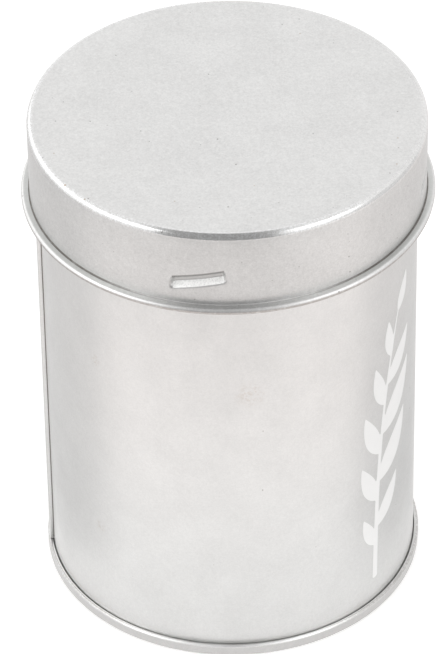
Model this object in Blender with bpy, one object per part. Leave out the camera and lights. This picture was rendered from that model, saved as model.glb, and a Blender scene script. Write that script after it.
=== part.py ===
"""Candle tin: a round slip-lid tin.

Its body is one rolled sheet, closed by a folded side seam and double seamed to its bottom end.
Metres, +Z up. The origin is at the centre of the base, on the surface that the tin stands on.
A bearing is an angle round the tin: 0 is the front (-Y), and it grows towards the right (+X).
"""

import math

import bmesh
import bpy

MM = 0.001
NEARLY_ZERO = 1e-9

# Sheet
SHEET = 0.23 * MM

# Facets of the round shapes
FACETS = 60  # flat facets round the whole tin
LEAST_FACET = 1.5  # degrees, the narrowest one beside a dash or the side seam
SHARP_ANGLE = 40.0  # degrees, edges sharper than this are shaded as edges

# Whole tin
HEIGHT = 110.0 * MM
BODY_RADIUS = 38.2 * MM

# Lid
LID_SKIRT = 17.0 * MM  # from the top face of the lip to the top of the lid
LID_CLEARANCE = 0.70 * MM  # between the body's side seam and the inside of the skirt
LID_SEAT_GAP = 0.3 * MM  # between the body's curl and the underside of the lid
LID_CORNER = 1.2 * MM  # outside radius where the top turns into the skirt
CREASE_RADIUS = 0.3 * MM  # middle-line radius where the skirt turns out into the lip
LIP_REACH = 1.7 * MM  # how far the lip stands out from the skirt
LIP_THICKNESS = 1.4 * MM  # over its rolled edge
LIP_CURL = 270.0  # degrees that the edge is rolled under

# Dashes stamped inwards in the lid's skirt, which grip the body
DASH_COUNT = 4
DASH_BEARING = -8.9  # degrees, the first dash's middle
DASH_LENGTH = 11.2 * MM
DASH_HEIGHT = 2.8 * MM
DASH_FLOOR = 0.9 * MM  # height of its flat bottom, between the sloping walls
DASH_ABOVE_LIP = 5.7 * MM
DASH_TILT = 12.0  # degrees, right end up
DASH_CLEARANCE = 0.3 * MM  # between the bottom of a dash and the body
DASH_NOSE_POINT = 0.45  # share of the wall's width, a line of points that rounds the dash's ends

# Folded side seam of the body
SIDE_SEAM_BEARING = -86.0  # degrees, its middle
SIDE_SEAM_WIDTH = 4.0 * MM
SIDE_SEAM_LAYERS = 3  # sheets that it stands out from the body
SIDE_SEAM_SLACK = 0.06 * MM  # air under each of them
SIDE_SEAM_EDGE = 0.12 * MM  # how far its edges and ends slope
SIDE_SEAM_FOOT = 0.3 * MM  # between the double seam and the foot of the side seam
SIDE_SEAM_NOTCH = 2.4 * MM  # clear of the seam at the body's mouth, so that the curl can turn

# Curled mouth of the body
CURL_RADIUS = 0.75 * MM

# Double seam at the base
SEAM_HEIGHT = 2.7 * MM
LAYER_GAP = 0.14 * MM  # between neighbouring layers of the seam
SEAM_CORNER = 0.6 * MM  # outside radius of the seam's bottom corners
COMPOUND_HEIGHT = 0.3 * MM
COMPOUND_WIDTH = 0.7 * MM
COMPOUND_TAPER = 0.8  # its width at the foot, as a share of its full width
COMPOUND_GAP = 0.08 * MM

# Recessed panel of the bottom end
PANEL_RECESS = 3.2 * MM  # underside of the panel's outer ring, above the standing surface
PANEL_BEND = 0.6 * MM
RING_WIDTH = 5.5 * MM  # flat ring between the body and the step
STEP_DEPTH = 0.7 * MM
STEP_BEND = 0.8 * MM
STEP_SLOPE = 45.0  # degrees

# What follows from those
HALF_SHEET = SHEET / 2
BODY_MIDDLE = BODY_RADIUS - HALF_SHEET
BODY_TOP = HEIGHT - SHEET - LID_SEAT_GAP
SIDE_SEAM_RISE = SIDE_SEAM_LAYERS * (SHEET + SIDE_SEAM_SLACK)
SIDE_SEAM_LOW = SEAM_HEIGHT + SIDE_SEAM_FOOT
SIDE_SEAM_HIGH = BODY_TOP - SIDE_SEAM_NOTCH
LID_INSIDE = BODY_RADIUS + SIDE_SEAM_RISE + LID_CLEARANCE
LID_RADIUS = LID_INSIDE + SHEET
LIP_TOP = HEIGHT - LID_SKIRT
DASH_DEPTH = LID_INSIDE - BODY_RADIUS - DASH_CLEARANCE
LAYER_PITCH = SHEET + LAYER_GAP
BODY_FOLD = SHEET + 2 * COMPOUND_GAP + COMPOUND_HEIGHT + LAYER_PITCH + HALF_SHEET
END_FOLD = SEAM_HEIGHT - LAYER_PITCH - HALF_SHEET


class SheetPath:
    """The middle line of a formed sheet in the (radius, height) half-plane, walked from edge to edge.

    A heading is in degrees: 0 points outwards and 90 points up.
    """

    def __init__(self, radius, height, heading):
        self.radius, self.height, self.heading = radius, height, heading
        self.stops = [(radius, height, heading)]

    def to(self, radius=None, height=None):
        """Straight on until that radius or that height."""
        turn = math.radians(self.heading)
        if height is None:
            length = (radius - self.radius) / math.cos(turn)
        else:
            length = (height - self.height) / math.sin(turn)
        self.radius += length * math.cos(turn)
        self.height += length * math.sin(turn)
        self.stops.append((self.radius, self.height, self.heading))
        return self

    def bend(self, angle, radius, steps):
        """Round a bend of that middle-line radius. A positive angle turns left."""
        side = math.copysign(90.0, angle)
        across = math.radians(self.heading + side)
        centre_r = self.radius + radius * math.cos(across)
        centre_z = self.height + radius * math.sin(across)
        for step in range(1, steps + 1):
            heading = self.heading + angle * step / steps
            back = math.radians(heading - side)
            self.radius = centre_r + radius * math.cos(back)
            self.height = centre_z + radius * math.sin(back)
            self.stops.append((self.radius, self.height, heading))
        self.heading += angle
        return self


def sheet_section(path):
    """The closed outline of a sheet: its left face along the path, then its right face back.

    Its points are (radius, height, side).
    """
    faces = []
    for side in (1, -1):
        faces.append([])
        for radius, height, heading in path.stops:
            across = math.radians(heading + 90)
            r = radius + side * HALF_SHEET * math.cos(across)
            z = height + side * HALF_SHEET * math.sin(across)
            faces[-1].append((max(r, 0.0), z, side))
    return faces[0] + faces[1][::-1]


def even_bearings():
    return [360.0 * k / FACETS - 180.0 for k in range(FACETS)]


def bearings_with(extra):
    """The even bearings with these ones added, and even ones too close to them left out."""

    def gap(a, b):
        return abs((a - b + 180) % 360 - 180)

    kept = [b for b in even_bearings() if all(gap(b, e) > LEAST_FACET for e in extra)]
    return sorted(kept + [(e + 180) % 360 - 180 for e in extra])


def turned(section, bearings, formed=None):
    """The section turned round the tin's axis.

    formed(bearing, point) may move a point, as a stamping tool would.
    """
    bm = bmesh.new()
    rings = []
    for r, z, side in section:
        if r < NEARLY_ZERO:
            rings.append([bm.verts.new((0, 0, z))])
            continue
        ring = []
        for bearing in bearings:
            radius, height = formed(bearing, (r, z, side)) if formed else (r, z)
            angle = math.radians(bearing)
            ring.append(bm.verts.new((radius * math.sin(angle), -radius * math.cos(angle), height)))
        rings.append(ring)
    count = len(bearings)
    for lower, upper in zip(rings, rings[1:] + rings[:1]):
        for k in range(count):
            following = (k + 1) % count
            corners = [lower[k % len(lower)], lower[following % len(lower)]]
            corners += [upper[following % len(upper)], upper[k % len(upper)]]
            corners = list(dict.fromkeys(corners))
            if len(corners) > 2:
                bm.faces.new(corners)
    bmesh.ops.recalc_face_normals(bm, faces=bm.faces)
    return bm


def finish(material, colour, metallic, roughness):
    made = bpy.data.materials.new(material)
    made.use_nodes = True
    shader = made.node_tree.nodes["Principled BSDF"]
    shader.inputs["Base Color"].default_value = (*colour, 1.0)
    shader.inputs["Metallic"].default_value = metallic
    shader.inputs["Roughness"].default_value = roughness
    return made


def piece(name, bm, material, parent, base=0.0):
    """A named object whose origin is on the tin's axis at height base."""
    bmesh.ops.translate(bm, verts=bm.verts, vec=(0, 0, -base))
    mesh = bpy.data.meshes.new(name)
    bm.to_mesh(mesh)
    bm.free()
    mesh.materials.append(material)
    mesh.shade_smooth()
    mesh.set_sharp_from_angle(angle=math.radians(SHARP_ANGLE))
    made = bpy.data.objects.new(name, mesh)
    bpy.context.scene.collection.objects.link(made)
    made.parent = parent
    made.location = (0, 0, base)
    return made


def dash_bearings():
    """Bearings that carry the dashes' shape: middles, straight sides, ends of floors and round ends."""
    half, nose = DASH_LENGTH / 2, DASH_HEIGHT / 2
    wall = nose - DASH_FLOOR / 2
    along = [0.0, half - nose, half - wall, half - DASH_NOSE_POINT * wall, half]
    found = []
    for k in range(DASH_COUNT):
        middle = DASH_BEARING + 360.0 * k / DASH_COUNT
        for distance in sorted({s * a for a in along for s in (1, -1)}):
            found.append(middle + math.degrees(distance / LID_RADIUS))
    return found


def stamped(bearing, point):
    """Moves a point of the lid's skirt inwards, and along the tilt, where a dash is stamped."""
    radius, height, _ = point
    row = height - LIP_TOP - DASH_ABOVE_LIP
    if abs(row) > DASH_HEIGHT or radius < LID_INSIDE - SHEET:
        return radius, height
    pitch = 360.0 / DASH_COUNT
    off = (bearing - DASH_BEARING + pitch / 2) % pitch - pitch / 2
    along = math.radians(off) * LID_RADIUS
    half, nose = DASH_LENGTH / 2, DASH_HEIGHT / 2
    if abs(along) > half + DASH_HEIGHT:
        return radius, height
    past = max(abs(along) - (half - nose), 0.0)
    reach = math.hypot(past, row)
    depth = DASH_DEPTH * min(max((nose - reach) / (nose - DASH_FLOOR / 2), 0.0), 1.0)
    fade = min(1.0, (DASH_HEIGHT - abs(row)) / nose) if abs(along) <= half + NEARLY_ZERO else 0.0
    return radius - depth, height + fade * along * math.tan(math.radians(DASH_TILT))


def lid(parent):
    """One drawn shell: flat top, round corner, skirt with dashes, sharp crease, lip with a rolled edge."""
    middle = LID_RADIUS - HALF_SHEET
    corner = LID_CORNER - HALF_SHEET
    curl = (LIP_THICKNESS - SHEET) / 2
    path = SheetPath(0.0, HEIGHT - HALF_SHEET, 0.0)
    path.to(radius=middle - corner).bend(-90, corner, 3)
    rows = (DASH_HEIGHT, DASH_HEIGHT / 2, DASH_FLOOR / 2)
    for row in (*rows, *(-r for r in reversed(rows))):
        path.to(height=LIP_TOP + DASH_ABOVE_LIP + row)
    path.to(height=LIP_TOP - HALF_SHEET + CREASE_RADIUS).bend(90, CREASE_RADIUS, 2)
    lip_edge = LID_RADIUS + LIP_REACH - HALF_SHEET
    path.to(radius=lip_edge - curl).bend(-LIP_CURL, curl, 8)
    bm = turned(sheet_section(path), bearings_with(dash_bearings()), stamped)
    return piece("lid", bm, finish("tinplate_lid", (0.72, 0.72, 0.71), 0.9, 0.42), parent, LIP_TOP)


def side_seam_bearings():
    half, slope = SIDE_SEAM_WIDTH / 2, SIDE_SEAM_EDGE
    return [
        SIDE_SEAM_BEARING + math.degrees(distance / BODY_RADIUS)
        for distance in (-half, slope - half, 0.0, half - slope, half)
    ]


def folded(bearing, point):
    """Moves a point of the body's outer face out where the folded side seam stands on it."""
    radius, height, side = point
    across = abs(math.radians(bearing - SIDE_SEAM_BEARING)) * BODY_RADIUS
    inside = across <= SIDE_SEAM_WIDTH / 2 - SIDE_SEAM_EDGE + NEARLY_ZERO
    standing = SIDE_SEAM_LOW + NEARLY_ZERO < height < SIDE_SEAM_HIGH - NEARLY_ZERO
    if side < 0 and inside and standing:
        radius += SIDE_SEAM_RISE
    return radius, height


def body_wall(parent):
    """One rolled sheet: hooked outwards at its foot, folded at its side, curled in at its mouth."""
    low, high = SIDE_SEAM_LOW, SIDE_SEAM_HIGH
    curl = CURL_RADIUS - HALF_SHEET
    path = SheetPath(BODY_MIDDLE + 2 * LAYER_PITCH, END_FOLD, -90.0)
    path.to(height=BODY_FOLD).bend(-180, LAYER_PITCH, 4)
    for height in (low, low + SIDE_SEAM_EDGE, high - SIDE_SEAM_EDGE, high, BODY_TOP - CURL_RADIUS):
        path.to(height=height)
    path.bend(270, curl, 6)
    bm = turned(sheet_section(path), bearings_with(side_seam_bearings()), folded)
    return piece("body_wall", bm, finish("tinplate_body", (0.74, 0.74, 0.73), 0.9, 0.38), parent)


def bottom_end(parent):
    """One stamped disc: its edge hooks over the body's hook, runs under it and climbs inside the body."""
    corner = SEAM_CORNER - HALF_SHEET
    outer, inner = BODY_MIDDLE + 3 * LAYER_PITCH, BODY_MIDDLE - LAYER_PITCH
    ring = PANEL_RECESS + HALF_SHEET
    path = SheetPath(BODY_MIDDLE + LAYER_PITCH, BODY_FOLD, 90.0)
    path.to(height=END_FOLD).bend(-180, LAYER_PITCH, 4)
    path.to(height=HALF_SHEET + corner).bend(-90, corner, 2)
    path.to(radius=inner + corner).bend(-90, corner, 2)
    path.to(height=ring - PANEL_BEND).bend(90, PANEL_BEND, 3)
    path.to(radius=inner - RING_WIDTH).bend(STEP_SLOPE, STEP_BEND, 1)
    rounded = STEP_BEND * (1 - math.cos(math.radians(STEP_SLOPE)))
    path.to(height=ring - STEP_DEPTH + rounded).bend(-STEP_SLOPE, STEP_BEND, 1)
    path.to(radius=0.0)
    bm = turned(sheet_section(path), even_bearings())
    return piece("bottom_end", bm, finish("tinplate_end", (0.72, 0.72, 0.71), 0.9, 0.4), parent)


def seam_compound(parent):
    """Sealing compound squeezed under the body's hook, inside the bottom end's curl."""
    middle = BODY_MIDDLE + LAYER_PITCH
    low = SHEET + COMPOUND_GAP
    high = low + COMPOUND_HEIGHT
    half = COMPOUND_WIDTH / 2
    section = [
        (middle - COMPOUND_TAPER * half, low, 1),
        (middle + COMPOUND_TAPER * half, low, 1),
        (middle + half, high, 1),
        (middle - half, high, 1),
    ]
    bm = turned(section, even_bearings())
    return piece("seam_compound", bm, finish("sealing_compound", (0.35, 0.42, 0.40), 0.0, 0.7), parent)


def main():
    for old in list(bpy.data.objects):
        bpy.data.objects.remove(old)
    tin = bpy.data.objects.new("tin", None)
    bpy.context.scene.collection.objects.link(tin)
    bottom_end(tin)
    seam_compound(tin)
    body_wall(tin)
    lid(tin)


main()
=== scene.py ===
"""Looks of the candle tin: fine sheet-metal meshes over the CAD frame, materials, floor, light, camera.

Metres, +Z up, in the frame of the CAD model. A bearing is an angle round the tin: 0 is the front (-Y),
and it grows towards the right (+X).
"""

import math

import bmesh
import bpy
import numpy as np
from mathutils import Matrix, Vector

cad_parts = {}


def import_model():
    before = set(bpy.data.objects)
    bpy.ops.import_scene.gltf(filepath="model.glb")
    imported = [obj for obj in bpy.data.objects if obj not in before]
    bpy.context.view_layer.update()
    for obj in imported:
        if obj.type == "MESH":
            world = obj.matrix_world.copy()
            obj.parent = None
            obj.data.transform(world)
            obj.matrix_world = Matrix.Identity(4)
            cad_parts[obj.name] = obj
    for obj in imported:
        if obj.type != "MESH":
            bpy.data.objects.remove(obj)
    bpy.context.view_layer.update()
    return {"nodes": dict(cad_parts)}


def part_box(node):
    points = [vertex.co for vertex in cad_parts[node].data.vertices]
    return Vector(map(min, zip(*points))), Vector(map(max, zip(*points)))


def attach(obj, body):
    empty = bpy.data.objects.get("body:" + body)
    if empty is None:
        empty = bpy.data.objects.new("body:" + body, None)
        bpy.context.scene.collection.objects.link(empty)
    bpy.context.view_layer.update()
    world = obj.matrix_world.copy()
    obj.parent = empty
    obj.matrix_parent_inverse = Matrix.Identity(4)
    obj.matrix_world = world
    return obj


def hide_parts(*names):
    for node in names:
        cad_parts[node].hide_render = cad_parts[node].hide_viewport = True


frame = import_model()

MM = 0.001
TINY = 1e-9

# Meshes
ROUND = 300  # even columns round the whole tin
COLUMN_CLEAR = 0.4  # degrees beside the added columns that even ones stay out of
EDGE_STEPS = 4  # steps round a cut edge of the sheet
SHARP_ANGLE = 50.0  # degrees, edges sharper than this are shaded as edges

# Sizes that the frame gives
LIP_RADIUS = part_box("lid")[1].x
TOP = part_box("lid")[1].z
LIP_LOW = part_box("lid")[0].z
SEAM_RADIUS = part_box("bottom_end")[1].x
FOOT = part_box("bottom_end")[0].z
BODY_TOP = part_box("body_wall")[1].z

# Sheet
SHEET = 0.23 * MM
HALF_SHEET = SHEET / 2

# Lid
LIP_REACH = 1.7 * MM
LIP_THICKNESS = 1.4 * MM
LIP_CURL = 270.0
LID_RADIUS = LIP_RADIUS - LIP_REACH
LIP_TOP = LIP_LOW + LIP_THICKNESS
LID_CORNER = 1.2 * MM
CREASE_RADIUS = 0.3 * MM
EDGE_WOBBLE = 0.03 * MM  # unevenness of hand-fed presswork
WOBBLE_ABOVE_LIP = 2.0 * MM  # where it is in full

# Dashes stamped in the skirt
DASH_COUNT = 4
DASH_BEARING = -8.9
DASH_LENGTH = 11.2 * MM
DASH_HEIGHT = 2.8 * MM
DASH_FLOOR = 0.9 * MM
DASH_DEPTH = 1.2 * MM
DASH_ABOVE_LIP = 5.7 * MM
DASH_TILT = 12.0
DASH_END_WALL = 0.75 * MM  # how far its steep end walls reach along it
DASH_BLEND = 0.2 * MM  # how softly its walls turn into the skirt and the floor
DASH_GRID = 0.22 * MM
DASH_SIDE_MARGIN = 1.2 * MM  # by which the fine grid reaches past a dash's ends
DASH_ROW_MARGIN = 0.3 * MM  # and past its top and foot

# Double seam
LAYER_PITCH = 0.37 * MM
SEAM_HEIGHT = 2.7 * MM
SEAM_CORNER = 0.6 * MM
BODY_RADIUS = SEAM_RADIUS - 3 * LAYER_PITCH
BODY_MIDDLE = BODY_RADIUS - HALF_SHEET
BODY_FOLD = 1.175 * MM
END_FOLD = SEAM_HEIGHT - LAYER_PITCH - HALF_SHEET
ROLL_WAVE = 0.012 * MM  # waviness that the seaming rolls leave

# Body
CURL_RADIUS = 0.75 * MM
SIDE_SEAM_BEARING = -86.0
SIDE_SEAM_WIDTH = 4.0 * MM
SIDE_SEAM_RISE = 3 * (SHEET + 0.06 * MM)
SIDE_SEAM_ROUND = 0.32 * MM  # radius of the fold along its near edge
SIDE_SEAM_GROOVE = 0.13 * MM  # depth of the crevice beside the fold
SIDE_SEAM_CREVICE = 0.5 * MM  # width of that crevice
SIDE_SEAM_FOOT = 0.06 * MM
SIDE_SEAM_NOTCH = 2.4 * MM
SIDE_SEAM_SLOPE = 0.12 * MM
SIDE_SEAM_CROWN = 0.03 * MM  # how much its middle stands out
SIDE_SEAM_STEP = 0.02 * MM  # run of its steep edges
TRUE_END = 12.0 * MM  # the wall's ends are held true, and its unevenness is in full this far from them

# Recessed panel of the bottom end
PANEL_RECESS = 3.2 * MM
PANEL_BEND = 0.6 * MM
RING_WIDTH = 5.5 * MM
STEP_DEPTH = 0.7 * MM
STEP_BEND = 0.8 * MM
STEP_SLOPE = 45.0

# Printed leaf sprig on the body. s is the distance round the body from its front.
STEM_FOOT = 8.5 * MM
STEM_LENGTH = 66.0 * MM
STEM_PLACE = 33.4 * MM
STEM_LEAN = 1.2 * MM
STEM_BOW = 7.0 * MM
STEM_HALF = 0.75 * MM  # half its width at the foot
STEM_TAPER = 0.5 * MM  # what half its width loses towards the tip
LEAVES = (
    # share of the stem, heading in degrees, length and width in mm, bow as a share of the length
    (0.13, -24, 9.5, 3.2, -0.03),
    (0.20, 36, 13.0, 4.2, 0.05),
    (0.31, -24, 12.0, 4.0, -0.03),
    (0.38, 38, 17.0, 5.8, 0.05),
    (0.49, -22, 13.0, 4.2, -0.03),
    (0.56, 40, 17.5, 5.8, 0.05),
    (0.67, -16, 11.5, 3.8, -0.03),
    (0.74, 44, 13.5, 4.6, 0.05),
    (0.84, -6, 9.5, 3.2, -0.03),
    (0.985, 26, 9.0, 3.2, 0.04),
)
INK_ACROSS = (22 * MM, 53 * MM)  # the field that the sprig is cut from, in s and in height
INK_UP = (6 * MM, 88 * MM)
INK_GRID = 0.28 * MM
INK_LIFT = 0.006 * MM  # clear of the body's facets
INK_THICKNESS = 0.008 * MM


# ---------------------------------------------------------------- sheet shapes


class SheetPath:
    """The middle line of a formed sheet in the (radius, height) half-plane, walked from edge to edge.

    A heading is in degrees: 0 points outwards and 90 points up.
    """

    def __init__(self, radius, height, heading):
        self.radius, self.height, self.heading = radius, height, heading
        self.stops = [(radius, height, heading)]

    def to(self, radius=None, height=None, steps=1):
        """Straight on until that radius or that height."""
        turn = math.radians(self.heading)
        if height is None:
            length = (radius - self.radius) / math.cos(turn)
        else:
            length = (height - self.height) / math.sin(turn)
        for _ in range(steps):
            self.radius += length / steps * math.cos(turn)
            self.height += length / steps * math.sin(turn)
            self.stops.append((self.radius, self.height, self.heading))
        return self

    def bend(self, angle, radius, steps):
        """Round a bend of that middle-line radius. A positive angle turns left."""
        side = math.copysign(90.0, angle)
        across = math.radians(self.heading + side)
        centre_r = self.radius + radius * math.cos(across)
        centre_z = self.height + radius * math.sin(across)
        for step in range(1, steps + 1):
            heading = self.heading + angle * step / steps
            back = math.radians(heading - side)
            self.radius = centre_r + radius * math.cos(back)
            self.height = centre_z + radius * math.sin(back)
            self.stops.append((self.radius, self.height, heading))
        self.heading += angle
        return self


def section(path):
    """The closed outline of a sheet with rounded cut edges, as rows of (radius, height, face).

    face is 1 on the left of the path, -1 on its right and between them round a cut edge.
    """
    rows = []
    for side in (1, -1):
        stops = path.stops if side > 0 else path.stops[::-1]
        for radius, height, heading in stops:
            across = math.radians(heading + 90)
            r = radius + side * HALF_SHEET * math.cos(across)
            z = height + side * HALF_SHEET * math.sin(across)
            rows.append((r, z, side))
        radius, height, heading = stops[-1]
        if radius < TINY:
            continue
        ahead = math.radians(heading) + (0 if side > 0 else math.pi)
        for step in range(1, EDGE_STEPS):
            turned_by = math.pi * step / EDGE_STEPS
            across = ahead + side * (math.pi / 2 - turned_by)
            r = radius + HALF_SHEET * math.cos(across)
            z = height + HALF_SHEET * math.sin(across)
            rows.append((r, z, math.cos(turned_by) * side))
    return [(max(r, 0.0), z, face) for r, z, face in rows]


def columns(extra=()):
    """Even bearings with these ones added, and even ones that fall among them left out."""
    even = [360.0 * k / ROUND - 180.0 for k in range(ROUND)]
    spans = [(min(group) - COLUMN_CLEAR, max(group) + COLUMN_CLEAR) for group in extra]

    def clear(bearing):
        return not any(low < b < high for low, high in spans for b in (bearing - 360, bearing, bearing + 360))

    added = [(b + 180) % 360 - 180 for group in extra for b in group]
    return np.array(sorted([b for b in even if clear(b)] + added))


def turned(name, rows, bearings, formed=None):
    """The section turned round the tin's axis. formed(bearings, row) gives each point's radius and height."""
    vertices, starts = [], []
    angle = np.radians(bearings)
    for row in rows:
        starts.append(len(vertices))
        if row[0] < TINY:
            vertices.append((0.0, 0.0, row[1]))
            continue
        if formed:
            radius, height = formed(bearings, row)
        else:
            radius, height = np.full_like(angle, row[0]), np.full_like(angle, row[1])
        ring = np.column_stack([radius * np.sin(angle), -radius * np.cos(angle), height])
        vertices += [tuple(p) for p in ring]
    count = len(bearings)
    faces = []
    for k, row in enumerate(rows):
        other = (k + 1) % len(rows)
        for c in range(count):
            n = (c + 1) % count
            here = [starts[k]] if row[0] < TINY else [starts[k] + c, starts[k] + n]
            there = [starts[other]] if rows[other][0] < TINY else [starts[other] + n, starts[other] + c]
            if len(here) + len(there) > 2:
                faces.append(here + there)
    mesh = bpy.data.meshes.new(name)
    mesh.from_pydata(vertices, [], faces)
    bm = bmesh.new()
    bm.from_mesh(mesh)
    bmesh.ops.recalc_face_normals(bm, faces=bm.faces)
    bm.to_mesh(mesh)
    bm.free()
    return mesh


def show(name, mesh, material, body, slot, *nodes):
    """A piece of the tin, shaded smooth, riding on its CAD body in place of those CAD nodes."""
    mesh.shade_smooth()
    mesh.set_sharp_from_angle(angle=math.radians(SHARP_ANGLE))
    mesh.materials.append(material)
    made = bpy.data.objects.new(name, mesh)
    bpy.context.scene.collection.objects.link(made)
    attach(made, body)
    if nodes:
        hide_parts(*nodes)


def smooth_step(low, high, value):
    """From 0 where value is low to 1 where it is high."""
    t = np.clip((value - low) / (high - low), 0.0, 1.0)
    return t * t * (3 - 2 * t)


def soft_clip(value, ease):
    """Clips to 0..1 with both corners rounded over the width ease."""
    soft_low = ease * np.logaddexp(0.0, value / ease * 3) / 3
    return 1.0 - ease * np.logaddexp(0.0, (1.0 - soft_low) / ease * 3) / 3


# ---------------------------------------------------------------- lid


def dash_columns():
    """Fine columns across each dash."""
    reach = DASH_LENGTH / 2 + DASH_SIDE_MARGIN
    steps = round(2 * reach / DASH_GRID)
    across = np.linspace(-reach, reach, steps + 1) / LID_RADIUS
    return [list(DASH_BEARING + 360.0 * k / DASH_COUNT + np.degrees(across)) for k in range(DASH_COUNT)]


def lid_form(bearings, row):
    """Stamps the dashes into the skirt, and gives the drawn shell its slight unevenness."""
    radius, height, _ = row
    turn = np.radians(bearings)
    wobble = 0.6 * np.sin(3 * turn + 0.7) + 0.4 * np.sin(7 * turn + 2.1)
    away = smooth_step(TOP - LID_CORNER, LIP_TOP + WOBBLE_ABOVE_LIP, height)
    r = radius + EDGE_WOBBLE * wobble * away * (radius / LID_RADIUS) - EDGE_WOBBLE * away
    z = np.full_like(turn, height)
    on_skirt = radius > LID_RADIUS - 1.5 * SHEET
    if not on_skirt or height > TOP - LID_CORNER or height < LIP_TOP + CREASE_RADIUS:
        return r, z
    level = height - LIP_TOP - DASH_ABOVE_LIP
    pitch = 360.0 / DASH_COUNT
    off = (bearings - DASH_BEARING + pitch / 2) % pitch - pitch / 2
    along = np.radians(off) * LID_RADIUS
    up = level - along * math.tan(math.radians(DASH_TILT))
    side_wall = (DASH_HEIGHT - DASH_FLOOR) / 2
    past_side = np.maximum(np.abs(up) - DASH_FLOOR / 2, 0.0) / side_wall
    past_end = np.maximum(np.abs(along) - (DASH_LENGTH / 2 - DASH_END_WALL), 0.0) / DASH_END_WALL
    slope = 1.0 - np.hypot(past_side, past_end)
    return r - DASH_DEPTH * soft_clip(slope, DASH_BLEND / side_wall), z


def lid_mesh():
    middle = LID_RADIUS - HALF_SHEET
    corner = LID_CORNER - HALF_SHEET
    curl = (LIP_THICKNESS - SHEET) / 2
    path = SheetPath(0.0, TOP - HALF_SHEET, 0.0)
    path.to(radius=middle - corner, steps=10).bend(-90, corner, 12)
    reach = DASH_HEIGHT / 2 + DASH_LENGTH / 2 * math.tan(math.radians(DASH_TILT)) + DASH_ROW_MARGIN
    high, low = LIP_TOP + DASH_ABOVE_LIP + reach, LIP_TOP + DASH_ABOVE_LIP - reach
    path.to(height=high, steps=5)
    path.to(height=low, steps=round(2 * reach / DASH_GRID))
    path.to(height=LIP_TOP - HALF_SHEET + CREASE_RADIUS, steps=5).bend(90, CREASE_RADIUS, 6)
    lip_edge = LIP_RADIUS - HALF_SHEET
    path.to(radius=lip_edge - curl, steps=3).bend(-LIP_CURL, curl, 20)
    return turned("lid_shell", section(path), columns(dash_columns()), lid_form)


# ---------------------------------------------------------------- body


def seam_profile():
    """The side seam's outer face across its width: pairs of distance from its middle and rise."""
    half, rise, fold = SIDE_SEAM_WIDTH / 2, SIDE_SEAM_RISE, SIDE_SEAM_ROUND
    edge = half + SIDE_SEAM_STEP
    points = [(-half - SIDE_SEAM_CREVICE, 0.0), (-edge, 0.0)]
    for k in range(6):
        turn = math.radians(18 * k)
        points.append((-half + fold * (1 - math.cos(turn)), rise - fold + fold * math.sin(turn)))
    for share in (-0.5, 0.0, 0.5):
        points.append((share * (half - fold), rise - SIDE_SEAM_CROWN * share * share))
    for k in range(8):
        turn = math.radians(90 * k / 7)
        points.append((half - fold + fold * math.sin(turn), rise - fold + fold * math.cos(turn)))
    for k in range(6):
        share = k / 5
        points.append((edge + share * SIDE_SEAM_CREVICE, -SIDE_SEAM_GROOVE * (1 - share) ** 1.5))
    return points


SEAM_ACROSS, SEAM_RISE = np.array(seam_profile()).T


def seam_columns():
    return [list(SIDE_SEAM_BEARING + np.degrees(SEAM_ACROSS / BODY_RADIUS))]


def body_form(bearings, row):
    """Raises the folded side seam on the outer face and presses the crevice beside it."""
    radius, height, face = row
    turn = np.radians(bearings)
    low, high = SEAM_HEIGHT + SIDE_SEAM_FOOT, BODY_TOP - SIDE_SEAM_NOTCH
    wobble = 0.5 * np.sin(2 * turn + 1.1) + 0.3 * np.sin(5 * turn + 0.4)
    between = smooth_step(low, TRUE_END, height) * smooth_step(BODY_TOP, BODY_TOP - TRUE_END, height)
    r = radius + EDGE_WOBBLE * (wobble - 0.8) * between
    across = np.radians(bearings - SIDE_SEAM_BEARING) * BODY_RADIUS
    rise = np.interp(across, SEAM_ACROSS, SEAM_RISE, left=0.0, right=0.0)
    standing = smooth_step(low - TINY, low + SIDE_SEAM_SLOPE, height)
    standing = standing * smooth_step(high + TINY, high - SIDE_SEAM_SLOPE, height)
    if face < 0:
        r = r + rise * standing
    return r, np.full_like(turn, height)


def body_mesh():
    low, high = SEAM_HEIGHT + SIDE_SEAM_FOOT, BODY_TOP - SIDE_SEAM_NOTCH
    curl = CURL_RADIUS - HALF_SHEET
    path = SheetPath(BODY_MIDDLE + 2 * LAYER_PITCH, END_FOLD, -90.0)
    path.to(height=BODY_FOLD).bend(-180, LAYER_PITCH, 8)
    path.to(height=low).to(height=low + SIDE_SEAM_SLOPE, steps=2)
    path.to(height=high - SIDE_SEAM_SLOPE, steps=40)
    path.to(height=high, steps=2).to(height=BODY_TOP - CURL_RADIUS)
    path.bend(270, curl, 18)
    return turned("body_sheet", section(path), columns(seam_columns()), body_form)


# ---------------------------------------------------------------- bottom end


def end_form(bearings, row):
    """The seaming rolls leave a faint waviness in the seam's wall."""
    radius, height, _ = row
    turn = np.radians(bearings)
    rolled = 0.5 * np.sin(23 * turn) + 0.5 * np.sin(41 * turn + 1.3)
    outside = smooth_step(BODY_MIDDLE + 2.4 * LAYER_PITCH, BODY_MIDDLE + 3 * LAYER_PITCH, radius)
    r = radius - ROLL_WAVE * (1 + rolled) * outside
    return r, np.full_like(turn, height)


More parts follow.
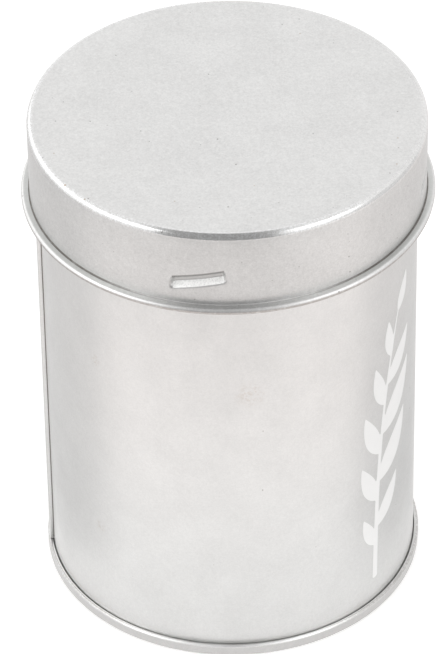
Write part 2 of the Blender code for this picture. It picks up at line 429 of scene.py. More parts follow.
def end_mesh():
    corner = SEAM_CORNER - HALF_SHEET
    inner = BODY_MIDDLE - LAYER_PITCH
    ring = PANEL_RECESS + HALF_SHEET
    path = SheetPath(BODY_MIDDLE + LAYER_PITCH, BODY_FOLD, 90.0)
    path.to(height=END_FOLD).bend(-180, LAYER_PITCH, 12)
    path.to(height=FOOT + HALF_SHEET + corner, steps=3).bend(-90, corner, 6)
    path.to(radius=inner + corner).bend(-90, corner, 6)
    path.to(height=ring - PANEL_BEND).bend(90, PANEL_BEND, 8)
    path.to(radius=inner - RING_WIDTH, steps=3).bend(STEP_SLOPE, STEP_BEND, 5)
    rounded = STEP_BEND * (1 - math.cos(math.radians(STEP_SLOPE)))
    path.to(height=ring - STEP_DEPTH + rounded).bend(-STEP_SLOPE, STEP_BEND, 5)
    path.to(radius=0.0, steps=8)
    return turned("end_sheet", section(path), columns(), end_form)


# ---------------------------------------------------------------- printed sprig


def leaf(s, z, base, heading, length, width, bow):
    """How far inside a leaf each point (s, z) lies. heading is in degrees from straight up, to the right."""
    turn = math.radians(heading)
    ds, dz = s - base[0], z - base[1]
    along = (ds * math.sin(turn) + dz * math.cos(turn)) / length
    across = ds * math.cos(turn) - dz * math.sin(turn)
    share = np.clip(along, 0.0, 1.0)
    across = across - bow * length * share * (1 - share) * 4
    half = width / 2 * np.sin(np.pi * share ** 0.8) ** 0.9
    past_end = np.maximum(np.maximum(-along, along - 1.0) * length, 0.0)
    return np.where((along > 0) & (along < 1), half - np.abs(across), -np.hypot(past_end, across))


def stem_line(share):
    """The stem's place (s, z) at a share of its height."""
    s = STEM_PLACE + STEM_LEAN * share + STEM_BOW * share ** 3
    return s, STEM_FOOT + STEM_LENGTH * share


def ink(s, z):
    """Positive where there is ink: a stem and leaves that shrink towards its tip."""
    share = np.clip((z - STEM_FOOT) / STEM_LENGTH, 0.0, 1.0)
    middle, level = stem_line(share)
    found = STEM_HALF - STEM_TAPER * share - np.hypot(s - middle, (z - level) * 2)
    for place, heading, length, width, bow in LEAVES:
        base = stem_line(place)
        found = np.maximum(found, leaf(s, z, base, heading, length * MM, width * MM, bow))
    return found


def ink_outline():
    """The sprig cut from a square grid: its points (s, z), and its faces as lists of their indices."""
    across = np.arange(*INK_ACROSS, INK_GRID)
    up = np.arange(*INK_UP, INK_GRID)
    level = ink(*np.meshgrid(across, up, indexing="ij"))
    points, index, faces = [], {}, []

    def point(key, s, z):
        if key not in index:
            index[key] = len(points)
            points.append((s, z))
        return index[key]

    for i in range(len(across) - 1):
        for j in range(len(up) - 1):
            corners = [(i, j), (i + 1, j), (i + 1, j + 1), (i, j + 1)]
            outline = []
            for a, b in zip(corners, corners[1:] + corners[:1]):
                if level[a] > 0:
                    outline.append(point(a, across[a[0]], up[a[1]]))
                if (level[a] > 0) != (level[b] > 0):
                    share = level[a] / (level[a] - level[b])
                    s = across[a[0]] + share * (across[b[0]] - across[a[0]])
                    z = up[a[1]] + share * (up[b[1]] - up[a[1]])
                    outline.append(point(tuple(sorted((a, b))), s, z))
            if len(outline) > 2:
                faces.append(outline)
    return points, faces


def ink_mesh():
    """The sprig's outline laid on the body and given the thickness of ink."""
    points, faces = ink_outline()
    vertices = []
    for lift in (INK_LIFT + INK_THICKNESS, INK_LIFT):
        for s, z in points:
            angle = s / BODY_RADIUS
            radius = float(body_form(np.degrees([angle]), (BODY_RADIUS + lift, z, -1))[0][0])
            vertices.append((radius * math.sin(angle), -radius * math.cos(angle), z))
    count = len(points)
    edges = {(f[k], f[(k + 1) % len(f)]) for f in faces for k in range(len(f))}
    walls = [(b, a, a + count, b + count) for a, b in edges if (b, a) not in edges]
    mesh = bpy.data.meshes.new("sprig_film")
    mesh.from_pydata(vertices, [], faces + [[v + count for v in reversed(f)] for f in faces] + walls)
    mesh.validate()
    return mesh


# ---------------------------------------------------------------- material nodes

RAMP_SOCKETS = ("Value", "From Min", "From Max", "To Min", "To Max")
COLOUR_SOCKETS = slice(6, 8)  # the two colours that a Mix node takes
COLOUR_RESULT = 2
DOT_CORE = 0.5  # share of a dot's radius over which it is at full strength


class Nodes:
    """Short calls for the nodes of one tree."""

    def __init__(self, tree):
        self.tree = tree

    def new(self, kind, **settings):
        node = self.tree.nodes.new(kind)
        for name, value in settings.items():
            setattr(node, name, value)
        return node

    def feed(self, socket, value):
        """Links an output, or sets a plain value."""
        if isinstance(value, bpy.types.NodeSocket):
            self.tree.links.new(value, socket)
        else:
            socket.default_value = value

    def math(self, operation, *values):
        node = self.new("ShaderNodeMath", operation=operation)
        for socket, value in zip(node.inputs, values):
            self.feed(socket, value)
        return node.outputs[0]

    def add(self, a, b):
        return self.math("ADD", a, b)

    def minus(self, a, b):
        return self.math("SUBTRACT", a, b)

    def absolute(self, a):
        return self.math("ABSOLUTE", a)

    def times(self, first, *others):
        """The product of all of them."""
        product = first
        for value in others:
            product = self.math("MULTIPLY", product, value)
        return product

    def length(self, a, b):
        """The length of the plane vector (a, b)."""
        return self.math("SQRT", self.add(self.times(a, a), self.times(b, b)))

    def ramp(self, value, low, high, to_low=0.0, to_high=1.0):
        """Smoothly from to_low where value is low to to_high where it is high."""
        node = self.new("ShaderNodeMapRange", interpolation_type="SMOOTHSTEP")
        for name, given in zip(RAMP_SOCKETS, (value, low, high, to_low, to_high)):
            self.feed(node.inputs[name], given)
        return node.outputs[0]

    def between(self, value, one_edge, other_edge):
        """1 between two soft edges, each given as the value where it is 0 and the value where it is 1."""
        return self.times(self.ramp(value, *one_edge), self.ramp(value, *other_edge))


class Surface(Nodes):
    """A Principled material, textured in metres from its piece's origin."""

    def __init__(self, name, metallic, roughness):
        self.material = bpy.data.materials.new(name)
        self.material.use_nodes = True
        super().__init__(self.material.node_tree)
        self.shader = self.tree.nodes["Principled BSDF"]
        self.shader.inputs["Metallic"].default_value = metallic
        self.shader.inputs["Roughness"].default_value = roughness
        self.place = self.new("ShaderNodeTexCoord").outputs["Object"]

    def noise(self, size, detail=2.0, roughness=0.5):
        """Noise from 0 to 1 whose grain is about size metres across."""
        node = self.new("ShaderNodeTexNoise")
        self.feed(node.inputs["Vector"], self.place)
        node.inputs["Scale"].default_value = 1.0 / size
        node.inputs["Detail"].default_value = detail
        node.inputs["Roughness"].default_value = roughness
        return node.outputs["Fac"]

    def drifting(self, size, low, high):
        """A value that drifts from low to high over patches about size metres across."""
        return self.ramp(self.noise(size, 3.0, 0.6), 0.3, 0.7, low, high)

    def dots(self, apart, radius, kept):
        """Round dots about apart metres from each other, of which the share kept is there."""
        node = self.new("ShaderNodeTexVoronoi", feature="F1")
        self.feed(node.inputs["Vector"], self.place)
        node.inputs["Scale"].default_value = 1.0 / apart
        split = self.new("ShaderNodeSeparateColor")
        self.feed(split.inputs[0], node.outputs["Color"])
        edge = self.times(split.outputs[1], radius / apart)
        inside = self.ramp(node.outputs["Distance"], edge, self.times(edge, DOT_CORE))
        chosen = self.math("GREATER_THAN", self.add(split.outputs[0], kept), 1.0)
        return self.times(inside, chosen)

    def spot(self, place, radius, soft):
        """1 at that place, fading to 0 at radius over the last share soft of it."""
        node = self.new("ShaderNodeVectorMath", operation="DISTANCE")
        self.feed(node.inputs[0], self.place)
        node.inputs[1].default_value = place
        return self.ramp(node.outputs["Value"], radius, radius * (1 - soft))

    def axis_values(self):
        """(distance from the tin's axis, height, bearing in degrees)."""
        split = self.new("ShaderNodeSeparateXYZ")
        self.feed(split.inputs[0], self.place)
        x, y, z = split.outputs
        bearing = self.math("ARCTAN2", x, self.times(y, -1.0))
        return self.length(x, y), z, self.math("DEGREES", bearing)

    def mix(self, share, *colours):
        """The first colour where share is 0, the second where it is 1."""
        node = self.new("ShaderNodeMix", data_type="RGBA")
        self.feed(node.inputs["Factor"], share)
        for socket, colour in zip(node.inputs[COLOUR_SOCKETS], colours):
            self.feed(socket, (*colour, 1.0) if isinstance(colour, tuple) else colour)
        return node.outputs[COLOUR_RESULT]

    def bump(self, height, distance, below=None):
        node = self.new("ShaderNodeBump")
        node.inputs["Strength"].default_value = 1.0
        node.inputs["Distance"].default_value = distance
        self.feed(node.inputs["Height"], height)
        if below is not None:
            self.feed(node.inputs["Normal"], below)
        return node.outputs[0]

    def finish(self, colour, roughness=None, normal=None):
        for name, value in (("Base Color", colour), ("Roughness", roughness), ("Normal", normal)):
            if value is not None:
                self.feed(self.shader.inputs[name], value)
        return self.material


# ---------------------------------------------------------------- tinplate

METAL = 1.0
NOT_METAL = 0.0

TIN_DARK = (0.575, 0.572, 0.567)  # clean tinplate, the darker and lighter grains
TIN_LIGHT = (0.745, 0.742, 0.736)
BLACK = (0.0, 0.0, 0.0)
# dark colour of painted shade in the crease, the side seam's crevice and the dashes, partly grime in the
# crease and crevice
SHADE_AND_GRIME = (0.12, 0.11, 0.10)
RUST = (0.42, 0.33, 0.25)

CLOUD_SIZE = 9 * MM
FINE_GRAIN = 0.36 * MM
BROAD_GRAIN = 0.9 * MM
WAVE_SIZE = 22 * MM


def on_tin(bearing, radius, height):
    """The place at that bearing in degrees, and that radius and height in metres."""
    angle = math.radians(bearing)
    return (radius * math.sin(angle), -radius * math.cos(angle), height)


def grained(s, grain_size, grain_height, wave_height):
    """Bump of rolled tinplate: fine matte grain over long shallow waves."""
    waves = s.bump(s.noise(WAVE_SIZE, 1.0), wave_height)
    coarse = s.bump(s.noise(grain_size * 2.5, 3.0, 0.6), grain_height, waves)
    return s.bump(s.noise(grain_size, 2.0, 0.7), grain_height, coarse)


def tin_colour(s, grain=1.0):
    """Clean tinplate with cloudy and grainy variation, the grain stronger where grain is larger."""
    clouds = s.ramp(s.noise(CLOUD_SIZE, 4.0, 0.6), 0.25, 0.75, -0.10, 0.10)
    fine = s.minus(s.noise(FINE_GRAIN, 2.0, 0.8), 0.5)
    broad = s.minus(s.noise(BROAD_GRAIN, 2.0, 0.6), 0.5)
    share = s.math("MULTIPLY_ADD", fine, 2.0 * grain, s.add(clouds, 0.5))
    return s.mix(s.math("MULTIPLY_ADD", broad, grain, share), TIN_DARK, TIN_LIGHT)


# ---------------------------------------------------------------- lid's material

LID_GRAIN = 0.75
LID_SPECKS = (0.18, 0.60)  # share of the specks that is there, in the middle and at the rim
LID_SPECK_PLACES = (26 * MM, 39 * MM)  # distances from the axis where those shares are reached
LID_SPECK_COLOUR = (0.27, 0.26, 0.25)
SPECK_STRENGTH = 0.9
CORNER_WEAR_END = (48, 36)  # bearings where the corner's worn strokes are gone, and where they are in full
CORNER_WEAR = 0.5
CORNER_POLISH = 0.20  # roughness that handling takes off the corner
WORN_METAL = (0.86, 0.87, 0.88)
SKIRT_DARKENING = 0.065
ASIDE = (10, 45)  # bearings over which the crease's painted shade and grime and the lip's painted shade grow
ASIDE_SHADE_AND_GRIME = (0.05, 0.94)  # how strong they are at the front and at the sides
# painted shade on the lip's top face under the skirt
LIP_FLANGE_SHADE = (0.47, 0.48, 0.465)
LIP_FLANGE_SHADE_STRENGTH = 0.55
# painted shade under the lip's rolled edge, in blotches
LIP_UNDER_SHADE = (0.33, 0.29, 0.27)
LIP_UNDER_SHADE_STRENGTH = 0.7
LID_RUST_STRENGTH = 0.8
LID_RUST = (
    # rust dots on the top: bearing in degrees, distance from the axis and radius in mm
    (-54.4, 39.2, 0.34),
    (-45.5, 39.2, 0.26),
    (-70.0, 36.4, 0.20),
    (62.0, 37.5, 0.22),
    (75.0, 34.8, 0.20),
    (-20.0, 30.5, 0.18),
    (12.0, 24.5, 0.16),
    (151.0, 31.0, 0.20),
)

# painted highlight on the dashes' lower walls
DASH_HIGHLIGHT = (0.98, 0.98, 0.97)
FIRST_DASH_END = (35, 60)  # bearings between which the front dash's painted highlight gives way to that of the others
OTHER_DASHES = 0.12  # how strong the others' painted highlight is, as a share of the first
DASH_WALL_ROUGHNESS = 0.35  # roughness added on the highlit lower walls
# painted shade along the dashes' upper shoulders, floors and ends
DASH_SHOULDER_SHADE = 0.60
DASH_FLOOR_SHADE = 0.22
DASH_END_SHADE = 0.20


def lip_painted_shade(s, colour, radius, height, bearing):
    """Adds painted shade and grime in the crease, painted shade on the lip's top face and painted shade under
    its rolled edge.
    """
    out = s.minus(radius, LID_RADIUS)
    # painted shade in the crease between skirt and lip, partly grime
    crease = s.ramp(s.length(out, s.minus(height, LIP_TOP)), 0.34 * MM, 0.16 * MM)
    aside = s.ramp(s.absolute(bearing), *ASIDE, *ASIDE_SHADE_AND_GRIME)
    patchy = s.ramp(s.noise(1.3 * MM, 3.0), 0.2, 0.6, 0.8, 1.0)
    colour = s.mix(s.times(crease, aside, patchy), colour, SHADE_AND_GRIME)
    # painted shade on the lip's top face, weaker at the front
    flange = s.times(s.ramp(height, LIP_TOP - 0.1 * MM, LIP_TOP - 0.02 * MM), s.ramp(out, 0.2 * MM, 0.3 * MM))
    colour = s.mix(s.times(flange, aside, LIP_FLANGE_SHADE_STRENGTH), colour, LIP_FLANGE_SHADE)
    # painted shade under the rolled edge
    under = s.ramp(height, LIP_LOW + 0.98 * MM, LIP_LOW + 0.72 * MM)
    blotches = s.ramp(s.noise(0.8 * MM, 3.0, 0.7), 0.3, 0.6, 0.55, 1.0)
    return s.mix(s.times(under, blotches, LIP_UNDER_SHADE_STRENGTH), colour, LIP_UNDER_SHADE)


def dash_painted_light(s, colour, height, bearing):
    """Adds a painted highlight on the dashes' lower walls and painted shade on their shoulders, floors and
    ends.

    Returns the colour, and the share of each point that is highlit lower wall.
    """
    pitch = 360.0 / DASH_COUNT
    past_edge = s.math("MODULO", s.add(bearing, 2.5 * pitch - DASH_BEARING), pitch)
    along = s.times(s.minus(past_edge, pitch / 2), math.radians(1.0) * LID_RADIUS)
    level = s.minus(height, LIP_TOP + DASH_ABOVE_LIP)
    level = s.math("MULTIPLY_ADD", along, -math.tan(math.radians(DASH_TILT)), level)
    along = s.absolute(along)
    end, foot = DASH_LENGTH / 2 - DASH_END_WALL, -DASH_HEIGHT / 2

    # painted highlight on the lower wall, broken into specks, strongest on the front dash
    highlit_wall = s.times(
        s.ramp(along, end + 0.35 * MM, end + 0.1 * MM),
        s.between(level, (-0.3 * MM, -0.45 * MM), (foot - 0.1 * MM, foot + 0.1 * MM)),
    )
    highlight_speckle = s.ramp(s.noise(0.32 * MM, 3.0, 0.8), 0.34, 0.58)
    highlight_speckle = s.ramp(highlight_speckle, 0.0, 1.0, 0.6, 1.0)
    first = s.ramp(s.absolute(bearing), *FIRST_DASH_END, 1.0, OTHER_DASHES)
    colour = s.mix(s.times(highlit_wall, highlight_speckle, first), colour, DASH_HIGHLIGHT)

    # painted shade along the shoulder above the dash, on its floor and at its ends
    inside = s.ramp(along, end + 0.45 * MM, end + 0.2 * MM)
    shoulder = s.between(level, (1.2 * MM, 1.3 * MM), (1.8 * MM, 1.6 * MM))
    flat = s.times(
        s.ramp(level, -0.45 * MM, -0.35 * MM, 0.0, DASH_FLOOR_SHADE), s.ramp(level, 1.4 * MM, 1.2 * MM)
    )
    middle = s.times(inside, s.math("MULTIPLY_ADD", shoulder, DASH_SHOULDER_SHADE, flat))
    ends = s.times(
        s.between(along, (end + 0.1 * MM, end + 0.4 * MM), (end + 1.0 * MM, end + 0.8 * MM)),
        s.ramp(level, 0.9 * MM, 0.2 * MM),
        s.ramp(level, -1.6 * MM, -1.35 * MM, 0.0, DASH_END_SHADE),
    )
    return s.mix(s.math("MAXIMUM", middle, ends), colour, SHADE_AND_GRIME), highlit_wall


def lid_material():
    s = Surface("tinplate_lid", METAL, 0.4)
    radius, height, bearing = s.axis_values()
    colour = tin_colour(s, LID_GRAIN)
    specks = s.dots(1.7 * MM, 0.23 * MM, s.ramp(radius, *LID_SPECK_PLACES, *LID_SPECKS))
    colour = s.mix(s.times(specks, SPECK_STRENGTH), colour, LID_SPECK_COLOUR)

    # scuffed corner: bright worn metal shows through in short strokes
    corner = s.times(
        s.ramp(radius, LID_RADIUS - 1.38 * MM, LID_RADIUS - 0.98 * MM),
        s.ramp(height, TOP - 1.5 * MM, TOP - 1.1 * MM),
    )
    strokes = s.ramp(s.noise(0.5 * MM, 3.0, 0.7), 0.45, 0.62)
    worn = s.times(corner, strokes, s.ramp(bearing, *CORNER_WEAR_END), CORNER_WEAR)
    colour = s.mix(worn, colour, WORN_METAL)

    # the skirt is darkened a little
    skirt = s.between(height, (TOP - 0.9 * MM, TOP - 1.4 * MM), (LIP_TOP, LIP_TOP + 0.4 * MM))
    colour = s.mix(s.times(skirt, SKIRT_DARKENING), colour, BLACK)

    colour = lip_painted_shade(s, colour, radius, height, bearing)
    colour, highlit_wall = dash_painted_light(s, colour, height, bearing)
    for bearing_at, radius_at, size in LID_RUST:
        dot = s.spot(on_tin(bearing_at, radius_at * MM, TOP), size * MM, 0.6)
        colour = s.mix(s.times(dot, LID_RUST_STRENGTH), colour, RUST)

    roughness = s.minus(s.drifting(5 * MM, 0.39, 0.43), s.times(corner, CORNER_POLISH))
    roughness = s.math("MULTIPLY_ADD", highlit_wall, DASH_WALL_ROUGHNESS, roughness)
    return s.finish(colour, roughness, grained(s, 0.30 * MM, 0.0045 * MM, 0.03 * MM))


# ---------------------------------------------------------------- body's material

BODY_GRAIN = 0.4
BODY_SPECK_COLOUR = (0.30, 0.28, 0.26)
BODY_STAINS = (
    # rusty stains: bearing in degrees, height and radius in mm
    (5.7, 68.6, 4.2),
    (-45.0, 69.1, 2.0),
    (-45.5, 25.3, 2.2),
)
BODY_STAIN_STRENGTH = 0.35
FOOT_PAINTED_LIGHT = 0.8  # painted light that lifts the wall just above the seam
FOOT_LIGHT_COLOUR = (0.90, 0.90, 0.89)
CREVICE_MIDDLE = 0.12 * MM  # from the side seam's edge
CREVICE_SHADE_AND_GRIME = 0.85


def body_material():
    s = Surface("tinplate_body", METAL, 0.36)
    radius, height, bearing = s.axis_values()
    colour = tin_colour(s, BODY_GRAIN)
    specks = s.dots(3.4 * MM, 0.22 * MM, 0.3)
    colour = s.mix(s.times(specks, SPECK_STRENGTH), colour, BODY_SPECK_COLOUR)
    for bearing_at, height_at, size in BODY_STAINS:
        stain = s.spot(on_tin(bearing_at, BODY_RADIUS, height_at * MM), size * MM, 1.0)
        patchy = s.ramp(s.noise(0.7 * MM, 3.0, 0.7), 0.42, 0.68)
        colour = s.mix(s.times(stain, patchy, BODY_STAIN_STRENGTH), colour, RUST)

    plain_wall = s.ramp(radius, BODY_RADIUS + 0.2 * MM, BODY_RADIUS + 0.05 * MM)
    # painted light on the wall's foot just above the seam
    foot = s.ramp(height, SEAM_HEIGHT + 0.9 * MM, SEAM_HEIGHT + 0.1 * MM)
    colour = s.mix(s.times(foot, plain_wall, FOOT_PAINTED_LIGHT), colour, FOOT_LIGHT_COLOUR)

    # painted shade and grime in the crevice beside the folded seam
    beside = SIDE_SEAM_BEARING + math.degrees((SIDE_SEAM_WIDTH / 2 + CREVICE_MIDDLE) / BODY_RADIUS)
    off = s.times(s.absolute(s.minus(bearing, beside)), math.radians(1.0) * BODY_RADIUS)
    crevice = s.ramp(off, 0.40 * MM, 0.18 * MM)
    above_foot = s.ramp(height, SEAM_HEIGHT + 0.1 * MM, SEAM_HEIGHT + 0.6 * MM)
    colour = s.mix(s.times(crevice, plain_wall, above_foot, CREVICE_SHADE_AND_GRIME), colour, SHADE_AND_GRIME)

    return s.finish(colour, s.drifting(6 * MM, 0.34, 0.41), grained(s, 0.34 * MM, 0.003 * MM, 0.03 * MM))


# ---------------------------------------------------------------- bottom end's material

END_SPECK_COLOUR = (0.30, 0.29, 0.28)
END_SPECK_STRENGTH = 0.5
# painted shade on the seam's outer wall
SEAM_WALL_SHADE_COLOUR = (0.51, 0.50, 0.495)
SEAM_WALL_SHADE = 0.7
# painted shade on the seam's bead, less in its sparkles
BEAD_SHADE_COLOUR = (0.44, 0.43, 0.42)
BEAD_SHADE = (0.8, 0.25)  # between its sparkles, and in them
BEAD_HIGHLIGHT_COLOUR = (0.96, 0.96, 0.95)
BEAD_HIGHLIGHT_BEARINGS = (45, 15)  # bearings where the bead's painted highlight begins, and where it is in full
# painted light in the groove between the bead and the body
GROOVE_LIGHT_COLOUR = (0.85, 0.85, 0.84)
GROOVE_PAINTED_LIGHT = 0.6


def end_material():
    s = Surface("tinplate_end", METAL, 0.38)
    radius, height, bearing = s.axis_values()
    inwards = s.minus(SEAM_RADIUS, radius)
    down = s.minus(SEAM_HEIGHT, height)
    colour = tin_colour(s)

    # painted shade on the seam's outer wall
    wall = s.times(s.ramp(down, 0.35 * MM, 0.6 * MM), s.ramp(inwards, 0.41 * MM, 0.21 * MM))
    colour = s.mix(s.times(wall, SEAM_WALL_SHADE), colour, SEAM_WALL_SHADE_COLOUR)

    # painted shade on the bead, less in its sparkles
    bead = s.times(s.ramp(down, 0.45 * MM, 0.2 * MM), s.ramp(inwards, 0.56 * MM, 0.41 * MM))
    sparkle = s.ramp(s.noise(0.45 * MM, 3.0, 0.7), 0.48, 0.6)
    colour = s.mix(s.times(bead, s.ramp(sparkle, 0.0, 1.0, *BEAD_SHADE)), colour, BEAD_SHADE_COLOUR)
    # painted highlight on the bead at the front
    front = s.ramp(s.absolute(bearing), *BEAD_HIGHLIGHT_BEARINGS)
    colour = s.mix(s.times(bead, front), colour, BEAD_HIGHLIGHT_COLOUR)

    # painted light in the groove between the bead and the body
    groove = s.times(s.ramp(inwards, 0.46 * MM, 0.71 * MM), s.ramp(down, 1.5 * MM, 0.7 * MM))
    colour = s.mix(s.times(groove, GROOVE_PAINTED_LIGHT), colour, GROOVE_LIGHT_COLOUR)

    specks = s.dots(2.2 * MM, 0.15 * MM, 0.3)
    colour = s.mix(s.times(specks, END_SPECK_STRENGTH), colour, END_SPECK_COLOUR)
    return s.finish(colour, s.drifting(4 * MM, 0.32, 0.42), grained(s, 0.28 * MM, 0.005 * MM, 0.02 * MM))


# ---------------------------------------------------------------- compound's and ink's materials

COMPOUND_COLOURS = ((0.30, 0.37, 0.35), (0.40, 0.47, 0.45))
INK_COLOURS = ((0.84, 0.84, 0.835), (0.89, 0.89, 0.885))
PINHOLE_COLOUR = (0.55, 0.55, 0.54)
PINHOLE_STRENGTH = 0.5


def compound_material():
    s = Surface("sealing_compound", NOT_METAL, 0.7)
    share = s.noise(0.8 * MM, 3.0, 0.6)
    roughness = s.ramp(share, 0.3, 0.7, 0.6, 0.8)
    return s.finish(s.mix(share, *COMPOUND_COLOURS), roughness, s.bump(s.noise(0.25 * MM), 0.01 * MM))


def ink_material():
    s = Surface("white_ink", NOT_METAL, 0.42)
    share = s.noise(2.5 * MM, 3.0, 0.6)
    pinholes = s.dots(1.6 * MM, 0.1 * MM, 0.12)
    colour = s.mix(s.times(pinholes, PINHOLE_STRENGTH), s.mix(share, *INK_COLOURS), PINHOLE_COLOUR)
    roughness = s.ramp(share, 0.3, 0.7, 0.36, 0.48)
    return s.finish(colour, roughness, s.bump(s.noise(0.3 * MM), 0.002 * MM))


# ---------------------------------------------------------------- floor

FLOOR_RADIUS = 0.36  # a round white table lit from below, under a white backdrop
FLOOR_MIDDLE = (0.0, 0.125)
FLOOR_SIDES = 128
FLOOR_COLOURS = ((0.80, 0.80, 0.80), (0.82, 0.82, 0.82))
FLOOR_CLOUDS = 60 * MM

# Its glow, as the tin mirrors it. Distances are in metres, and the tin's axis is at 0.
FLOOR_GLOW = (0.54, 0.20)  # near the tin and far from it
GLOW_FALL = (0.17, 0.36)  # distances between which it falls from the one to the other
GLOW_BACK = 0.05  # those distances start this far behind the axis
GLOW_NARROWING = 1.5  # how much faster it falls sideways than forwards
BESIDE = (0.040, 0.058)  # sideways from the axis, where a loss beside the tin sets in and is in full
BESIDE_BACK = (-0.055, -0.015)  # and the same from front to back
BESIDE_LOSS = 0.65
CONTACT = (0.050, 0.085)  # from the axis, between which the shade at the tin's foot fades away
CONTACT_GLOW = 0.84
RIGHT = (0.125, 0.155)  # sideways from the axis, where the brighter right side sets in and is in full
RIGHT_GAIN = 0.20
WARMTH = (0.11, 0.20)  # distances between which the glow turns warm
GLOW_COLOURS = ((1.0, 0.995, 0.98), (1.0, 0.90, 0.86))
FLOOR_SEEN = 0.42  # the glow that the camera sees, the same all over


def floor():
    bpy.ops.mesh.primitive_circle_add(
        vertices=FLOOR_SIDES, radius=FLOOR_RADIUS, fill_type="NGON", location=(*FLOOR_MIDDLE, 0.0)
    )
    made = bpy.context.object
    made.name = "floor"
    s = Surface("floor_white", NOT_METAL, 0.75)
    s.shader.inputs["Specular IOR Level"].default_value = 0.0
    split = s.new("ShaderNodeSeparateXYZ")
    s.feed(split.inputs[0], s.place)
    across = split.outputs["X"]
    back = s.add(split.outputs["Y"], FLOOR_MIDDLE[1])

    ahead = s.math("MINIMUM", s.minus(back, GLOW_BACK), 0.0)
    away = s.length(ahead, s.times(across, GLOW_NARROWING))
    glow = s.ramp(away, *GLOW_FALL, *FLOOR_GLOW)
    beside = s.times(s.ramp(s.absolute(across), *BESIDE), s.ramp(back, *BESIDE_BACK))
    glow = s.times(glow, s.math("MULTIPLY_ADD", beside, -BESIDE_LOSS, 1.0))
    glow = s.times(glow, s.ramp(s.length(back, across), *CONTACT, CONTACT_GLOW, 1.0))
    glow = s.add(glow, s.ramp(across, *RIGHT, 0.0, RIGHT_GAIN))

    seen = s.new("ShaderNodeLightPath").outputs["Is Camera Ray"]
    mirrored = s.minus(1.0, seen)
    strength = s.add(s.times(glow, mirrored), s.times(seen, FLOOR_SEEN))
    s.feed(s.shader.inputs["Emission Strength"], strength)
    warm = s.times(s.ramp(away, *WARMTH), mirrored)
    s.feed(s.shader.inputs["Emission Color"], s.mix(warm, *GLOW_COLOURS))
    made.data.materials.append(s.finish(s.mix(s.noise(FLOOR_CLOUDS), *FLOOR_COLOURS)))


# ---------------------------------------------------------------- studio

# What the tin mirrors, by the direction (x, y, z) that it lies in
WORLD_BACK = 1.15  # the bright studio
WORLD_WINDOWS = 0.55  # added by the window at the left and the smaller one at the right
WORLD_DARK = 0.41  # a dark slab over and behind the camera
WORLD_SEEN = 1.1  # backdrop that the camera sees
WORLD_DIFFUSE = 0.75  # light on matt surfaces
WHITE = (1.0, 1.0, 1.0, 1.0)

# The slab narrows towards the back: its middle line and half width are each a slope times y, plus a value
SLAB_MIDDLE = (0.055, -0.05)
SLAB_HALF = (-0.334, 0.267)
SLAB_LEAST_HALF = 0.01
SLAB_EDGE = (0.85, 1.12)  # shares of the half width between which it ends
SLAB_BACK = (0.22, 0.44)  # y between which it ends
RIGHT_SHADE = (0.80, 0.92, 1.0, 0.80)  # x between which the far right falls from the one share to the other
WINDOW_FOOT = (0.0, 0.2)  # z, and below it x and y, where a window is 0 and where it is in full
WINDOW_HEAD = (0.85, 0.6)
LEFT_WINDOW = (-0.35, -0.55)
RIGHT_WINDOW = (0.35, 0.50)
RIGHT_WINDOW_BACK = (-0.15, -0.40)


def world():
    made = bpy.data.worlds.new("studio")
    bpy.context.scene.world = made
    made.use_nodes = True
    made.node_tree.nodes.clear()
    n = Nodes(made.node_tree)
    way = n.new("ShaderNodeSeparateXYZ")
    n.feed(way.inputs[0], n.new("ShaderNodeTexCoord").outputs["Generated"])
    x, y, z = way.outputs

    middle = n.math("MULTIPLY_ADD", y, *SLAB_MIDDLE)
    half = n.math("MAXIMUM", n.math("MULTIPLY_ADD", y, *SLAB_HALF), SLAB_LEAST_HALF)
    off = n.math("DIVIDE", n.absolute(n.minus(x, middle)), half)
    slab = n.times(n.ramp(off, *SLAB_EDGE, 1.0, 0.0), n.ramp(y, *SLAB_BACK, 1.0, 0.0))

    right = n.times(n.ramp(x, *RIGHT_WINDOW), n.ramp(y, *RIGHT_WINDOW_BACK))
    windows = n.times(n.add(n.ramp(x, *LEFT_WINDOW), right), n.between(z, WINDOW_FOOT, WINDOW_HEAD))
    bright = n.add(n.times(n.ramp(x, *RIGHT_SHADE), WORLD_BACK), n.times(windows, WORLD_WINDOWS))
    mirrored = n.add(n.times(bright, n.minus(1.0, slab)), n.times(slab, WORLD_DARK))

    path = n.new("ShaderNodeLightPath")
    seen, matt = path.outputs["Is Camera Ray"], path.outputs["Is Diffuse Ray"]
    strength = n.add(n.times(matt, WORLD_DIFFUSE), n.times(seen, WORLD_SEEN))
    strength = n.add(strength, n.times(mirrored, n.minus(1.0, n.math("MAXIMUM", matt, seen))))
    background = n.new("ShaderNodeBackground")
    n.feed(background.inputs["Color"], WHITE)
    n.feed(background.inputs["Strength"], strength)
    n.feed(n.new("ShaderNodeOutputWorld").inputs["Surface"], background.outputs[0])


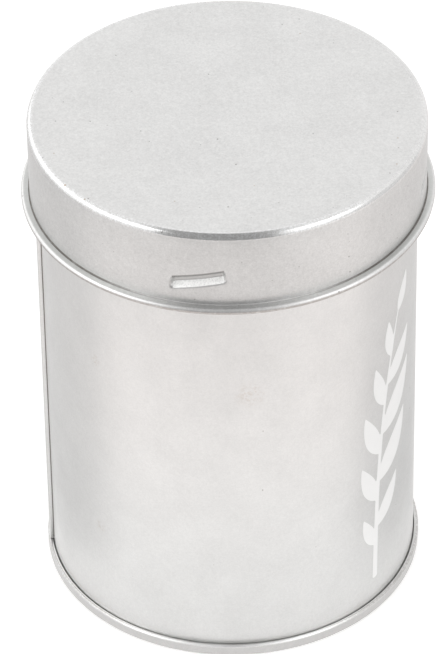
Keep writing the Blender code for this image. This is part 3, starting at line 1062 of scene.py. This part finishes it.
SOFTBOX_AIM = (0.0, 0.0, 0.06)
SOFTBOXES = (
    # name, place, side, power in watts
    ("softbox_left", (-0.9, -0.45, 0.75), 0.7, 2.4),
    ("softbox_right", (0.75, -0.45, 0.75), 0.5, 1.2),
)


def softbox(name, place, side, power):
    light = bpy.data.lights.new(name, "AREA")
    light.shape = "SQUARE"
    light.size = side
    light.energy = power
    made = bpy.data.objects.new(name, light)
    bpy.context.scene.collection.objects.link(made)
    made.location = place
    made.rotation_euler = (Vector(SOFTBOX_AIM) - Vector(place)).to_track_quat("-Z", "Y").to_euler()
    made.visible_camera = False


CAMERA_PLACE = (0.0, -0.78476, 0.68332)
CAMERA_YAW = -0.124  # degrees to the right
CAMERA_DOWN = 38.654  # degrees below level
CAMERA_ROLL = -0.910
CAMERA_LENS = 268.82
CAMERA_SENSOR = 36.0


def camera():
    data = bpy.data.cameras.new("camera")
    data.lens = CAMERA_LENS
    data.sensor_width = CAMERA_SENSOR
    made = bpy.data.objects.new("camera", data)
    bpy.context.scene.collection.objects.link(made)
    yaw, down = math.radians(CAMERA_YAW), math.radians(CAMERA_DOWN)
    ahead = Vector((math.sin(yaw) * math.cos(down), math.cos(yaw) * math.cos(down), -math.sin(down)))
    across = ahead.cross(Vector((0, 0, 1))).normalized()
    turn = Matrix.Rotation(-math.radians(CAMERA_ROLL), 3, ahead)
    right = turn @ across
    up = turn @ across.cross(ahead)
    rotation = Matrix((right, up, -ahead)).transposed()
    made.matrix_world = Matrix.Translation(CAMERA_PLACE) @ rotation.to_4x4()
    bpy.context.scene.camera = made


def main():
    show("lid_shell", lid_mesh(), lid_material(), "lid", "tinplate_lid", "lid")
    show("body_sheet", body_mesh(), body_material(), "tin_body", "tinplate_body", "body_wall")
    show("end_sheet", end_mesh(), end_material(), "tin_body", "tinplate_end", "bottom_end")
    show("printed_sprig", ink_mesh(), ink_material(), "tin_body", "tinplate_body")
    compound = frame["nodes"]["seam_compound"]
    compound.data.materials.clear()
    compound.data.materials.append(compound_material())
    floor()
    world()
    for name, place, side, power in SOFTBOXES:
        softbox(name, place, side, power)
    camera()
    scene = bpy.context.scene
    scene.view_settings.view_transform = "Standard"
    scene.view_settings.look = "None"


main()
